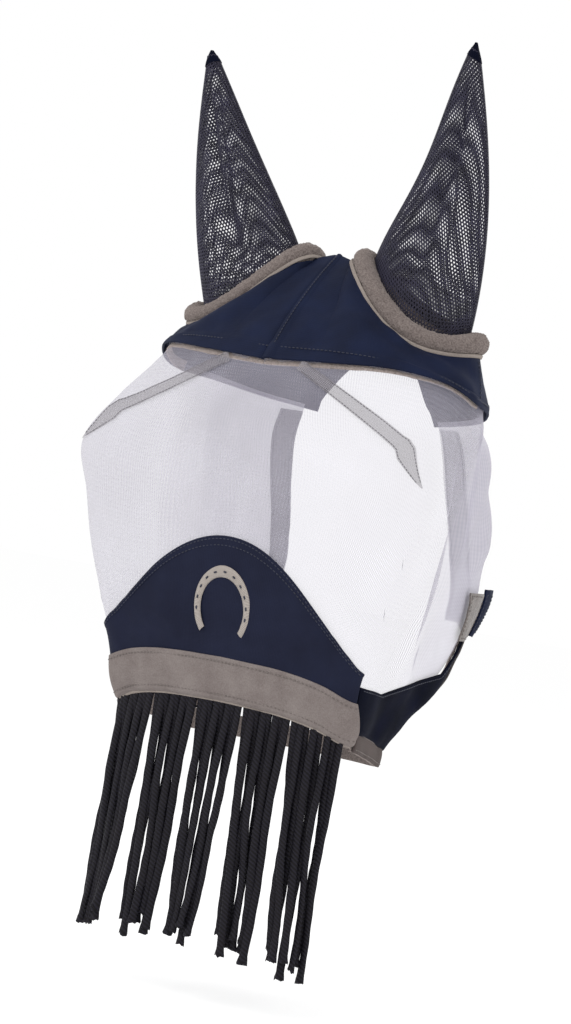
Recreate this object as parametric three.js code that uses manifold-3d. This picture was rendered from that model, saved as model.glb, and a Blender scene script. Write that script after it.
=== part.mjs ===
// Horse fly mask with net ears, fleece ear rings and a nose fringe.
// Millimetres, +Z up. The horse looks along -Y and its left side is +X.
// The origin is the top of the poll, between the ears, where the mask rests on the head.
import * as THREE from 'three';
import { mergeVertices } from 'three/addons/utils/BufferGeometryUtils.js';
import Module from 'manifold-3d';

const wasm = await Module();
wasm.setup();

// Fabric layers, as distances out from the horse's side of the face net.
const layers = {
  net: [0, 1.6],
  panel: [0, 2.4],
  overlay: [3.2, 4.6],
  lining: [-4.2, -1.4],
};

// The head that the mask is cut for: half a level section at each height.
// Columns: centre front, front quarter, front outer, fold, side front, side, jaw back, rear wrap.
const sections = [
  { height: -98, half: [[0, -99], [55, -94], [105, -74], [137, -38], [148, 8], [136, 50], [100, 84], [45, 103]] },
  { height: -145, half: [[0, -102], [62, -100], [115, -92], [149, -80], [150, -30], [136, 45], [116, 98], [45, 114]] },
  { height: -187, half: [[0, -104], [75, -104], [130, -102], [167, -97], [152, -38], [132, 48], [115, 118], [45, 126]] },
  { height: -230, half: [[0, -107], [72, -106], [122, -102], [158, -94], [148, -35], [128, 55], [112, 137], [45, 143]] },
  { height: -272, half: [[0, -107], [66, -105], [112, -100], [147, -92], [140, -33], [123, 60], [110, 146], [45, 150]] },
  { height: -320, half: [[0, -99], [60, -97], [100, -92], [133, -83], [129, -33], [117, 48], [107, 122], [48, 126]] },
  { height: -350, half: [[0, -91], [56, -89], [94, -85], [122, -76], [120, -30], [112, 40], [104, 103], [50, 106]] },
  { height: -385, half: [[0, -83], [54, -81], [90, -76], [116, -66], [113, -30], [107, 15], [99, 53], [50, 57]] },
  { height: -425, half: [[0, -72], [50, -70], [85, -64], [108, -52], [105, -25], [99, 3], [90, 24], [48, 34]] },
];
const foldColumn = 3;
const jawColumn = 6;

const brow = {
  edge: [-101, -98, -95, -99, -110, -115, -122, -130],
  crest: [0, -4, 1],
  bulge: 7,
  backCentre: [0, 101, -64],
  backColumn: 7,
  riseFrom: 0.68,
  centreGap: 0.25,
  seamHalf: 2,
  sideColumn: 4.2,
};

const ring = {
  centre: [82, 3, -29],
  long: [54, 9, -29.5],
  fore: [-8, 36, 0],
  dipFront: 28,
  dipRear: 12,
  roll: 7.8,
  clearance: 3.2,
};

const ear = {
  lengthLeft: 221,
  lengthRight: 205,
  lean: [0.193, -0.252, 0.948],
  insideRing: 0.82,
  insideFore: 0.62,
  taper: 1.5,
  bow: 7,
  wall: 1.3,
  collarTop: 0.1,
  panelBase: 0.112,
  scoop: 0.04,
  tipBase: 0.9,
  clothFrom: 0.001,
};

const dart = {
  start: [34, -106],
  turn: [137, -156],
  end: [164, -187],
  widths: [[0, 8], [0.76, 10.5], [0.8, 13], [1, 0.8]],
};

const nose = {
  crown: -249,
  fall: 0.0066,
  bandTop: [-348, -350, -356, -366],
  bandDepth: 36,
  emblemHeight: -304,
  emblemRadius: 23,
  emblemBar: 9,
};

const jaw = {
  top: [[3, -352], [4.05, -358], [4.8, -350], [5.6, -339], [6, -300]],
  strapTop: [-389, -395, -402, -407],
  strapDepth: 17,
  strapBack: 36,
  bindingWidth: 7,
};

const cheek = {
  endLeft: [[-98, 6.66], [-139, 6.62], [-185, 6.58], [-240, 6.53], [-289, 6.45], [-300, 6.4]],
  endRight: [[-98, 6.6], [-132, 6.55], [-180, 6.42], [-246, 6.3], [-300, 6.25]],
  foot: -295,
  jawGap: 4,
};

const flap = { top: -268, bottom: -300, length: 20, thick: 2.2, inward: -0.15, column: 6.02, margin: 4, clear: 1.5 };

const fringe = { strands: 40, sections: 5, span: 224, radius: 2.1, length: 190, row: 2.7, gap: 4.2, header: 4 };

const seam = 0.4;
const foldGap = 0.025;

const colours = {
  navySoftshell: 0x272c40,
  navyNet: 0x484554,
  faceNet: 0xe0dde4,
  taupeFleece: 0x776c68,
  taupeTape: 0x8b827e,
  greyTape: 0xb7b0b0,
  silverThread: 0x9d9690,
  braid: 0x23222c,
};

// ---- curves of the head ----

function smooth(values, at) {
  const last = values.length - 1;
  const place = THREE.MathUtils.clamp(at, 0, last);
  const i = Math.min(Math.floor(place), last - 1);
  const t = place - i;
  const before = values[Math.max(i - 1, 0)];
  const after = values[Math.min(i + 2, last)];
  const slopeIn = (values[i + 1] - before) / 2;
  const slopeOut = (after - values[i]) / 2;
  const cubic = 2 * values[i] - 2 * values[i + 1] + slopeIn + slopeOut;
  const square = -3 * values[i] + 3 * values[i + 1] - 2 * slopeIn - slopeOut;
  return ((cubic * t + square) * t + slopeIn) * t + values[i];
}

function lineThrough(points, at) {
  for (let i = 1; i < points.length; i += 1) {
    if ((at - points[i][0]) * Math.sign(points[i][0] - points[0][0]) <= 0) {
      const t = (at - points[i - 1][0]) / (points[i][0] - points[i - 1][0]);
      return THREE.MathUtils.lerp(points[i - 1][1], points[i][1], Math.max(t, 0));
    }
  }
  return points[points.length - 1][1];
}

const heights = sections.map((section) => section.height);

function rowAt(height) {
  for (let i = 1; i < heights.length; i += 1) {
    if (height >= heights[i] || i === heights.length - 1) {
      return i - 1 + (heights[i - 1] - height) / (heights[i - 1] - heights[i]);
    }
  }
  return 0;
}

// A point of the head at a column, negative on the horse's right, and a height.
function skin(column, height) {
  const row = rowAt(height);
  const half = sections[0].half.map((_, k) => [
    smooth(sections.map((section) => section.half[k][0]), row),
    smooth(sections.map((section) => section.half[k][1]), row),
  ]);
  const outs = [-half[1][0], ...half.map((point) => point[0])];
  const backs = [half[1][1], ...half.map((point) => point[1])];
  const at = Math.abs(column) + 1;
  return new THREE.Vector3(Math.sign(column) * smooth(outs, at), smooth(backs, at), height);
}

// The column of the front of the head that lies this far out.
function columnAt(out, height) {
  let low = 0;
  let high = foldColumn + 0.2;
  for (let i = 0; i < 24; i += 1) {
    const middle = (low + high) / 2;
    if (skin(middle, height).x < Math.abs(out)) {
      low = middle;
    } else {
      high = middle;
    }
  }
  return Math.sign(out) * low;
}

function front(out, height) {
  return skin(columnAt(out, height), height);
}

function browEdge(column) {
  return smooth(brow.edge, Math.abs(column));
}

function noseTop(column) {
  const rough = skin(column, -300).x;
  const out = skin(column, nose.crown - nose.fall * rough * rough).x;
  return nose.crown - nose.fall * out * out;
}

function bandTop(column) {
  return smooth(nose.bandTop, Math.abs(column));
}

function jawTop(column) {
  return lineThrough(jaw.top, column);
}

function strapTop(column) {
  return smooth(jaw.strapTop, column - foldColumn);
}

// ---- making panels ----

function normalAt(place, across, up) {
  const step = 0.004;
  const left = place(Math.max(across - step, 0), up);
  const right = place(Math.min(across + step, 1), up);
  const below = place(across, Math.max(up - step, 0));
  const above = place(across, Math.min(up + step, 1));
  return right.sub(left).cross(above.sub(below)).normalize();
}

// A closed shell of even thickness. place(across, up) gives its surface, seen from outside.
function shell(place, [inner, outer], columns, rows) {
  const geometry = new THREE.BoxGeometry(1, 1, 1, columns, rows, 1);
  const position = geometry.attributes.position;
  for (let i = 0; i < position.count; i += 1) {
    const across = position.getX(i) + 0.5;
    const up = position.getY(i) + 0.5;
    const reach = position.getZ(i) > 0 ? outer : inner;
    const point = place(across, up).addScaledVector(normalAt(place, across, up), reach);
    position.setXYZ(i, point.x, point.y, point.z);
  }
  return welded(geometry);
}

function welded(geometry) {
  geometry.deleteAttribute('normal');
  geometry.deleteAttribute('uv');
  return mergeVertices(geometry, 1e-4);
}

function mirrored(geometry) {
  const copy = geometry.clone();
  copy.scale(-1, 1, 1);
  const index = copy.index.array;
  for (let i = 0; i < index.length; i += 3) {
    const first = index[i];
    index[i] = index[i + 1];
    index[i + 1] = first;
  }
  return copy;
}

function solidOf(geometry) {
  const vertProperties = new Float32Array(geometry.attributes.position.array);
  const triVerts = new Uint32Array(geometry.index.array);
  return new wasm.Manifold(new wasm.Mesh({ numProp: 3, vertProperties, triVerts }));
}

function geometryOf(solid) {
  const mesh = solid.getMesh();
  const geometry = new THREE.BufferGeometry();
  geometry.setAttribute('position', new THREE.BufferAttribute(mesh.vertProperties, 3));
  geometry.setIndex(new THREE.BufferAttribute(mesh.triVerts, 1));
  return geometry;
}

const mask = new THREE.Group();

function add(name, geometry, colour, roughness = 0.9, parent = mask) {
  geometry.computeVertexNormals();
  const material = new THREE.MeshStandardMaterial({ color: colour, roughness, metalness: 0 });
  const mesh = new THREE.Mesh(geometry, material);
  mesh.name = name;
  parent.add(mesh);
  return mesh;
}

function addPair(name, geometry, colour) {
  add(`${name}_left`, geometry, colour);
  add(`${name}_right`, mirrored(geometry), colour);
}

// A panel that lies on the head between two columns, from one height line to another.
function onHead(from, to, bottom, top) {
  return (across, up) => {
    const column = THREE.MathUtils.lerp(from, to, across);
    return skin(column, THREE.MathUtils.lerp(bottom(column), top(column), up));
  };
}

// ---- ear rings ----

const ringCentre = new THREE.Vector3(...ring.centre);
const ringLong = new THREE.Vector3(...ring.long);
const ringFore = new THREE.Vector3(...ring.fore);
const ringUp = ringLong.clone().cross(ringFore).normalize();

// The left ring's centre line: angle 0 is its outer end and a half turn is its inner end.
function ringPoint(angle, size = 1) {
  const rise = Math.sin(angle);
  const dip = rise * rise * (rise < 0 ? ring.dipFront : ring.dipRear);
  return ringCentre.clone()
    .addScaledVector(ringLong, Math.cos(angle) * size)
    .addScaledVector(ringFore, rise * size)
    .add(new THREE.Vector3(0, 0, -dip));
}

function ringOut(angle) {
  const step = 0.01;
  const along = ringPoint(angle + step).sub(ringPoint(angle - step)).normalize();
  return along.cross(ringUp).normalize();
}

function makeRing() {
  const geometry = new THREE.TorusGeometry(2, 1, 8, 32);
  const position = geometry.attributes.position;
  for (let i = 0; i < position.count; i += 1) {
    const angle = Math.atan2(position.getY(i), position.getX(i));
    const away = Math.hypot(position.getX(i), position.getY(i)) - 2;
    const out = ringOut(angle);
    const point = ringPoint(angle)
      .addScaledVector(out, away * ring.roll)
      .addScaledVector(ringUp, position.getZ(i) * ring.roll);
    position.setXYZ(i, point.x, point.y, point.z);
  }
  return welded(geometry);
}

function rim(angle) {
  return ringPoint(angle).addScaledVector(ringOut(angle), ring.roll + ring.clearance);
}

// ---- brow and poll ----

const crest = new THREE.Vector3(...brow.crest);
const backCentre = new THREE.Vector3(...brow.backCentre);
const centreShare = 0.2;

function bulged(from, to, up, reach) {
  const point = from.clone().lerp(to, up);
  const out = point.clone().setY(point.y * 1.1).normalize();
  out.z = Math.max(out.z, 0) + 0.25;
  return point.addScaledVector(out.normalize(), 4 * up * (1 - up) * reach);
}

// The left brow panel: across runs from the centre seam to the side seam.
function browPlace(across, up) {
  const column = across * brow.sideColumn;
  const foot = skin(column, browEdge(column));
  let head;
  if (across < centreShare) {
    head = crest.clone().lerp(rim(Math.PI), smooth([0, 1], across / centreShare));
  } else {
    head = rim(Math.PI + ((across - centreShare) / (1 - centreShare)) * Math.PI);
  }
  const point = bulged(foot, head, up, brow.bulge * (1 - 0.8 * across));
  point.x += brow.centreGap * (1 - across);
  return point;
}

// The left poll panel: across runs from the side seam to the centre of the back.
function pollPlace(across, up) {
  const column = THREE.MathUtils.lerp(brow.sideColumn + 0.05, brow.backColumn, Math.min(across / 0.75, 1));
  const foot = skin(column, browEdge(column)).clone();
  if (across > 0.75) {
    foot.lerp(backCentre, (across - 0.75) / 0.25);
  }
  const rise = Math.sqrt(Math.max(across - brow.riseFrom, 0) / (1 - brow.riseFrom));
  foot.z = THREE.MathUtils.lerp(browEdge(column), backCentre.z, rise);
  let head;
  if (across < 0.8) {
    head = rim((across / 0.8) * (Math.PI - 0.03) + 0.03);
  } else {
    head = rim(Math.PI).clone().lerp(crest, (across - 0.8) / 0.2);
  }
  head.y += 1.2;
  const point = bulged(foot, head, up, brow.bulge * (0.2 + 0.8 * across));
  point.x += brow.centreGap * across;
  return point;
}

// Keeps a left panel on its own side of the centre.
function leftOfCentre(geometry, gap) {
  const position = geometry.attributes.position;
  for (let i = 0; i < position.count; i += 1) {
    position.setX(i, Math.max(position.getX(i), gap));
  }
  return geometry;
}

const browShell = shell(browPlace, layers.panel, 14, 5);
const pollShell = shell(pollPlace, layers.panel, 14, 5);
addPair('brow_panel', leftOfCentre(browShell, brow.centreGap), colours.navySoftshell);
addPair('poll_panel', leftOfCentre(pollShell, brow.centreGap), colours.navySoftshell);
addPair('ear_ring', makeRing(), colours.taupeFleece);


// The strip over the seam between the two brow panels.
function browSeam(across, up) {
  const point = browPlace(0, up * 0.94 + 0.03);
  point.x = THREE.MathUtils.lerp(-brow.seamHalf, brow.seamHalf, across);
  return point;
}

add('brow_centre_seam', shell(browSeam, layers.overlay, 1, 5), colours.navySoftshell);
const liningPlace = (across, up) => browPlace(0.01 + 0.98 * across, THREE.MathUtils.lerp(0.03, 0.25, up));
addPair('brow_lining', leftOfCentre(shell(liningPlace, layers.lining, 14, 2), 1), colours.taupeFleece);

// ---- face net ----

const hemLine = (column) => browEdge(column) - 1.6;

function faceNet() {
  const low = (column) => noseTop(column) + seam;
  return shell(onHead(-foldColumn + foldGap, foldColumn - foldGap, low, hemLine), layers.net, 20, 8);
}

function cheekNet(ends) {
  const place = (across, up) => {
    const foot = (column) => (column < jawColumn ? jawTop(column) + cheek.jawGap : cheek.foot);
    const guess = THREE.MathUtils.lerp(foldColumn + foldGap, 6.4, across);
    const level = THREE.MathUtils.lerp(foot(guess), hemLine(guess), up);
    const end = lineThrough(ends, level) - 0.28;
    const column = THREE.MathUtils.lerp(foldColumn + foldGap, end, across);
    return skin(column, THREE.MathUtils.lerp(foot(column), hemLine(column), up));
  };
  return shell(place, layers.net, 14, 9);
}

function cheekTape(ends) {
  const place = (across, up) => {
    const height = THREE.MathUtils.lerp(cheek.foot + 2, hemLine(6.5) - 5, up);
    const end = lineThrough(ends, height);
    return skin(THREE.MathUtils.lerp(end - 0.26, end, across), height);
  };
  return shell(place, layers.panel, 2, 7);
}

add('front_net', faceNet(), colours.faceNet);
add('cheek_net_left', cheekNet(cheek.endLeft), colours.faceNet);
add('cheek_net_right', mirrored(cheekNet(cheek.endRight)), colours.faceNet);
add('cheek_tape_left', cheekTape(cheek.endLeft), colours.navySoftshell);
add('cheek_tape_right', mirrored(cheekTape(cheek.endRight)), colours.navySoftshell);

// The tape over the left eye dart: from under the brow it widens, then it turns down to a point past the eye.
function dartPlace(across, up) {
  const start = new THREE.Vector2(...dart.start);
  const turn = new THREE.Vector2(...dart.turn);
  const end = new THREE.Vector2(...dart.end);
  const first = turn.distanceTo(start);
  const turnShare = first / (first + end.distanceTo(turn));
  const spot = start.clone().lerp(turn, across / turnShare);
  if (across > turnShare) {
    spot.copy(turn).lerp(end, (across - turnShare) / (1 - turnShare));
  }
  const later = THREE.MathUtils.clamp((across - turnShare + 0.08) / 0.16, 0, 1);
  const along = turn.sub(start).normalize();
  along.lerp(end.sub(new THREE.Vector2(...dart.turn)).normalize(), later).normalize();
  const reach = (up - 0.5) * lineThrough(dart.widths, across);
  return front(spot.x - along.y * reach, spot.y + along.x * reach);
}

addPair('dart_tape', shell(dartPlace, [2.6, 3.8], 12, 1), colours.greyTape);

// ---- nose ----

const noseSpan = foldColumn - foldGap;
const nosePlace = onHead(-noseSpan, noseSpan, (column) => bandTop(column) + seam, noseTop);
const bandFoot = (column) => bandTop(column) - nose.bandDepth;

function horseshoe(across, up) {
  const angle = THREE.MathUtils.lerp(1.22, -0.22, across) * Math.PI;
  const reach = nose.emblemRadius + (up - 0.5) * nose.emblemBar * (1 - 0.3 * Math.abs(2 * across - 1));
  return front(Math.cos(angle) * reach * 0.92, nose.emblemHeight + Math.sin(angle) * reach * 1.16);
}

add('nose_panel', shell(nosePlace, layers.panel, 20, 5), colours.navySoftshell);
add('nose_emblem', shell(horseshoe, layers.overlay, 24, 1), colours.silverThread);
add('nose_band', shell(onHead(-3.04, 3.04, bandFoot, bandTop), layers.panel, 16, 2), colours.taupeTape);
add('nose_lining', shell(onHead(-3, 3, (column) => bandFoot(column) + 4, (column) => bandTop(column) - 2), layers.lining, 14, 1),
  colours.taupeFleece);

// ---- jaw ----

const jawPlace = onHead(foldColumn + 0.13, jawColumn - 0.08, (column) => strapTop(column) + seam, jawTop);
addPair('jaw_panel', shell(jawPlace, layers.panel, 10, 3), colours.navySoftshell);

function bindingPlace(across, up) {
  const height = THREE.MathUtils.lerp(strapTop(jawColumn) + 3, jaw.top[4][1] - 2, up);
  const point = skin(jawColumn, height);
  const back = skin(jawColumn, height).sub(skin(jawColumn - 0.1, height)).normalize();
  return point.addScaledVector(back, seam + across * jaw.bindingWidth);
}

addPair('jaw_binding', shell(bindingPlace, layers.panel, 1, 6), colours.navySoftshell);

// The strap round the chin, from one end of the nose band to the other.
function strapPlace(across, up) {
  const turn = 2 * across - 1;
  const column = Math.abs(turn) * -3.35 + 6.5;
  const level = strapTop(Math.min(column, jawColumn)) - seam;
  const height = level - jaw.strapDepth * (1 - up);
  const reach = Math.min(Math.max(column - 5.6, 0) / 0.9, 1);
  const point = skin(Math.min(column, 5.9), level - 8);
  const curve = smooth([0, 0.35, 1], reach * 2);
  point.x *= Math.cos(curve * Math.PI / 2);
  point.y += Math.sin(curve * Math.PI / 2) * jaw.strapBack * 0.6;
  point.x *= turn > 0 ? -1 : 1;
  return new THREE.Vector3(point.x, point.y, height);
}

add('chin_strap', shell(strapPlace, [0, 3], 28, 1), colours.taupeTape);

// ---- ears ----

const lean = new THREE.Vector3(...ear.lean).normalize();
const outward = new THREE.Vector3(1, 0, 0);

// A point of a left ear: angle as on the ring, share 0 at the ring and 1 at the tip.
function earPoint(angle, share, length) {
  const width = ear.insideRing * (1 - share ** ear.taper) + 0.03;
  const depth = ear.insideFore * (1 - share) ** 1.3 + 0.14;
  const rise = Math.sin(angle);
  const dip = rise * rise * (rise < 0 ? ring.dipFront : ring.dipRear) * (1 - share) ** 3;
  return ringCentre.clone()
    .addScaledVector(ringLong, Math.cos(angle) * width)
    .addScaledVector(ringFore, rise * depth)
    .addScaledVector(lean, share * length)
    .addScaledVector(outward, ear.bow * Math.sin(share * Math.PI))
    .add(new THREE.Vector3(0, 0, -dip));
}

function earPart(fromAngle, toAngle, fromShare, toShare, length, columns, rows) {
  const place = (across, up) => {
    const angle = THREE.MathUtils.lerp(fromAngle, toAngle, across);
    const foot = fromShare > ear.collarTop ? fromShare + ear.scoop * Math.sin(angle) ** 2 : fromShare;
    return earPoint(angle, THREE.MathUtils.lerp(foot, toShare, up), length);
  };
  return shell(place, [-ear.wall, 0], columns, rows);
}

const sliver = 0.035;

function makeEar(side, length) {
  const turned = (geometry) => (side === 'right' ? mirrored(geometry) : geometry);
  const halves = [['front', Math.PI, 2 * Math.PI], ['back', 0, Math.PI]];
  for (const [name, from, to] of halves) {
    const collar = earPart(from + sliver, to - sliver, ear.clothFrom, ear.collarTop, length, 10, 1);
    add(`ear_collar_${name}_${side}`, turned(collar), colours.navyNet);
    const cloth = earPart(from + 3 * sliver, to - 3 * sliver, ear.panelBase, ear.tipBase, length, 10, 8);
    add(`ear_${name}_${side}`, turned(cloth), colours.navyNet);
  }
  const place = (across, up) => {
    const share = THREE.MathUtils.lerp(ear.tipBase + 0.015, 0.995, up);
    const low = earPoint(Math.PI, share, length);
    return low.lerp(earPoint(0, share, length), across);
  };
  const tip = shell(place, [-1.5, 1.5], 2, 2);
  add(`ear_tip_${side}`, turned(tip), colours.navySoftshell);
}

makeEar('left', ear.lengthLeft);
makeEar('right', ear.lengthRight);

// ---- closure flap on the left jaw ----

function flapPlace(reach) {
  return (across, up) => {
    const height = THREE.MathUtils.lerp(flap.bottom, flap.top, up);
    const root = skin(flap.column, height);
    const back = new THREE.Vector3(flap.inward, 1, 0).normalize();
    return root.addScaledVector(back, flap.clear + reach(across));
  };
}

const flapCloth = flapPlace((across) => across * flap.length);
const flapHook = flapPlace((across) => flap.margin + across * (flap.length - 2 * flap.margin));
const loopPlace = onHead(5.55, 5.84, () => -302, () => -272);

add('closure_flap', shell(flapCloth, [4, 4 + flap.thick], 3, 3), colours.navySoftshell);
add('closure_hook_patch', shell(flapHook, [2.2, 3.6], 3, 2), colours.taupeTape);
add('closure_loop_patch', shell(loopPlace, [2, 3.6], 3, 3), colours.taupeTape);

// ---- fringe ----

const strandPitch = fringe.span / fringe.strands;

// Where strand i hangs from, and how it sways. Neighbours hang in front of and behind each
// other, and the strands of a section lean towards its middle, so that none run together.
function strandRoute(i) {
  const perSection = fringe.strands / fringe.sections;
  const place = i % perSection;
  const out = -fringe.span / 2 + (i + 0.5) * strandPitch;
  const top = skin(columnAt(out, -390), bandFoot(columnAt(out, -390)));
  top.x = out;
  top.z -= fringe.gap + fringe.header / 2;
  const drop = fringe.length + 7 * Math.sin(i * 2.3) + 4 * Math.sin(i * 5.1);
  const inner = Math.sin(((place + 0.5) / perSection) * Math.PI) ** 2;
  const toMiddle = ((perSection - 1) / 2 - place) * strandPitch * 0.12;
  const swayOut = 4 * inner * Math.sin(i * 0.7) + toMiddle;
  const row = i % 2 === 0 ? fringe.row : -fringe.row;
  const points = [0, 0.1, 0.34, 0.62, 0.85, 1].map((share) => new THREE.Vector3(
    top.x + swayOut * share * share,
    top.y + row * Math.min(share * 8, 1) + 3 * share * share * Math.sin(i * 0.5),
    top.z - drop * share,
  ));
  return new THREE.CatmullRomCurve3(points);
}

function strandSection() {
  const outline = new THREE.Shape();
  outline.absellipse(0, 0, fringe.radius, fringe.radius, 0, 2 * Math.PI);
  return outline;
}

function makeFringeSection(k) {
  const perSection = fringe.strands / fringe.sections;
  const routes = Array.from({ length: perSection }, (_, j) => strandRoute(k * perSection + j));
  const starts = routes.map((route) => route.getPoint(0));
  const place = (across, up) => {
    const at = across * (perSection - 1 + 0.9) - 0.45;
    const point = new THREE.Vector3(
      starts[0].x + at * strandPitch,
      smooth(starts.map((start) => start.y), at),
      smooth(starts.map((start) => start.z), at),
    );
    point.z += (up - 0.5) * fringe.header;
    return point;
  };
  let solid = solidOf(shell(place, [-1.5, 1.5], 8, 1));
  for (const route of routes) {
    const strand = new THREE.ExtrudeGeometry(strandSection(), {
      steps: 5, curveSegments: 4, bevelEnabled: false, extrudePath: route,
    });
    solid = solid.add(solidOf(welded(strand)));
  }
  add(`fringe_section_${k + 1}`, geometryOf(solid), colours.braid, 0.8);
}

for (let k = 0; k < fringe.sections; k += 1) {
  makeFringeSection(k);
}

export default mask;
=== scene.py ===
import math
import random

import bmesh
import bpy
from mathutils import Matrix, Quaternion, Vector, noise


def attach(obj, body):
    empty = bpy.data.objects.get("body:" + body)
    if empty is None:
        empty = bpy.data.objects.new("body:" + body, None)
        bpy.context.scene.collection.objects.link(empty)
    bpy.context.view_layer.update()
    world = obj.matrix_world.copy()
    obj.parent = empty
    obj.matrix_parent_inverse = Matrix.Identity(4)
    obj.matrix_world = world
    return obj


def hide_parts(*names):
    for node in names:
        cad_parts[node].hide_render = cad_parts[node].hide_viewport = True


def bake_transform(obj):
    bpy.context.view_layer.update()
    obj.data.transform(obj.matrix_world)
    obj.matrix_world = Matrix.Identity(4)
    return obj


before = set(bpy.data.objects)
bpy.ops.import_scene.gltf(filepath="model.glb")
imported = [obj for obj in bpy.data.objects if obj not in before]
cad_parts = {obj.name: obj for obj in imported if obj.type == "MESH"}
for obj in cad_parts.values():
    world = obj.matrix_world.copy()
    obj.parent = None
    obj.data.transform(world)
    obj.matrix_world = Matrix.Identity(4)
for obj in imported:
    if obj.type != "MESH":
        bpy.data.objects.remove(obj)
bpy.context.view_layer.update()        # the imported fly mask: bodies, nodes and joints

random.seed(11)
mm = 0.001  # sizes below are in millimetres, and meshes are in metres


# ---- camera, floor and light ----

camera = {"target": (0, -25, -222), "away": 2180, "turn": 30, "roll": 9, "lens": 90.2, "film": 36}


def makeCamera():
    turn = math.radians(camera["turn"])
    target = Vector(camera["target"]) * mm
    place = target + Vector((math.sin(turn), -math.cos(turn), 0)) * camera["away"] * mm
    data = bpy.data.cameras.new("camera")
    data.lens = camera["lens"]
    data.sensor_fit = "VERTICAL"
    data.sensor_height = camera["film"]
    view = bpy.data.objects.new("camera", data)
    bpy.context.scene.collection.objects.link(view)
    view.location = place
    facing = (target - place).to_track_quat("-Z", "Y")
    view.rotation_mode = "QUATERNION"
    view.rotation_quaternion = facing @ Quaternion((0, 0, 1), math.radians(camera["roll"]))
    bpy.context.scene.camera = view


def linear(code, alpha=1.0):
    parts = [int(code[i:i + 2], 16) / 255 for i in (0, 2, 4)]
    bright = [c / 12.92 if c <= 0.04045 else ((c + 0.055) / 1.055) ** 2.4 for c in parts]
    return (*bright, alpha)


# links a socket, or sets a plain value
def feed(tree, socket, value):
    if isinstance(value, bpy.types.NodeSocket):
        tree.links.new(value, socket)
    else:
        socket.default_value = value


# adds a shader node: inputs are values or sockets, the rest are its settings
def addNode(tree, kind, inputs=None, **settings):
    made = tree.nodes.new(kind)
    for name, value in settings.items():
        setattr(made, name, value)
    setShader(tree, made, inputs or {})
    return made


def setShader(tree, shader, sockets):
    for name, value in sockets.items():
        feed(tree, shader.inputs[name], value)


# a new material with its node tree and its principled shader
def startMaterial(name):
    material = bpy.data.materials.new(name)
    material.use_nodes = True
    tree = material.node_tree
    return material, tree, tree.nodes["Principled BSDF"]


stage = {"floor": -640, "half": 9000, "colour": "fefefe", "world": 1.0}
lamps = [
    {"name": "key_soft", "place": (-900, -1500, 900), "size": 1500, "power": 16},
    {"name": "fill_soft", "place": (1500, -900, 300), "size": 1600, "power": 9},
    {"name": "back_soft", "place": (300, 1500, 900), "size": 1400, "power": 8},
]


def makeStage():
    bpy.ops.object.select_all(action="DESELECT")
    bpy.ops.mesh.primitive_plane_add(size=stage["half"] * 2 * mm, location=(0, 0, stage["floor"] * mm))
    floor = bpy.context.object
    floor.name = "floor"
    material, tree, shader = startMaterial("pale_paint")  # matt studio floor
    setShader(tree, shader, {
        "Base Color": linear(stage["colour"]),
        "Roughness": 1.0,
        "Specular IOR Level": 0.0,
    })
    floor.data.materials.append(material)
    world = bpy.data.worlds.new("studio")
    world.use_nodes = True
    world.node_tree.nodes["Background"].inputs["Color"].default_value = (1, 1, 1, 1)
    world.node_tree.nodes["Background"].inputs["Strength"].default_value = stage["world"]
    bpy.context.scene.world = world
    for lamp in lamps:
        data = bpy.data.lights.new(lamp["name"], "AREA")
        data.size = lamp["size"] * mm
        data.energy = lamp["power"]
        light = bpy.data.objects.new(lamp["name"], data)
        bpy.context.scene.collection.objects.link(light)
        light.location = Vector(lamp["place"]) * mm
        aim = Vector((0, 0, -200 * mm)) - light.location
        light.rotation_euler = aim.to_track_quat("-Z", "Y").to_euler()
    bpy.context.scene.view_settings.view_transform = "Standard"


makeCamera()
makeStage()
print("camera and stage")


# ---- the head that the mask is cut for ----

# half a level section at each height: centre front, front quarter, front outer, fold,
# side front, side, jaw back, rear wrap
sections = [
    (-98, [(0, -99), (55, -94), (105, -74), (137, -38), (148, 8), (136, 50), (100, 84), (45, 103)]),
    (-145, [(0, -102), (62, -100), (115, -92), (149, -80), (150, -30), (136, 45), (116, 98), (45, 114)]),
    (-187, [(0, -104), (75, -104), (130, -102), (167, -97), (152, -38), (132, 48), (115, 118), (45, 126)]),
    (-230, [(0, -107), (72, -106), (122, -102), (158, -94), (148, -35), (128, 55), (112, 137), (45, 143)]),
    (-272, [(0, -107), (66, -105), (112, -100), (147, -92), (140, -33), (123, 60), (110, 146), (45, 150)]),
    (-320, [(0, -99), (60, -97), (100, -92), (133, -83), (129, -33), (117, 48), (107, 122), (48, 126)]),
    (-350, [(0, -91), (56, -89), (94, -85), (122, -76), (120, -30), (112, 40), (104, 103), (50, 106)]),
    (-385, [(0, -83), (54, -81), (90, -76), (116, -66), (113, -30), (107, 15), (99, 53), (50, 57)]),
    (-425, [(0, -72), (50, -70), (85, -64), (108, -52), (105, -25), (99, 3), (90, 24), (48, 34)]),
]
heights = [height for height, half in sections]
foldColumn = 3
jawColumn = 6


# a curve from start to end, with a slope at each
def curve(start, end, slopeIn, slopeOut, t):
    cubic = 2 * start - 2 * end + slopeIn + slopeOut
    square = -3 * start + 3 * end - 2 * slopeIn - slopeOut
    return ((cubic * t + square) * t + slopeIn) * t + start


def smooth(values, at):
    last = len(values) - 1
    place = min(max(at, 0), last)
    i = min(int(place), last - 1)
    slopeIn = (values[i + 1] - values[max(i - 1, 0)]) / 2
    slopeOut = (values[min(i + 2, last)] - values[i]) / 2
    return curve(values[i], values[i + 1], slopeIn, slopeOut, place - i)


def mix(a, b, t):
    return a + (b - a) * t


def clamp(share):
    return min(max(share, 0), 1)


def ease(t):
    return t * t * (3 - 2 * t)


# a bump of height 1 round a middle
def hill(at, middle, wide):
    return math.exp(-((at - middle) / wide) ** 2)


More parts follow.
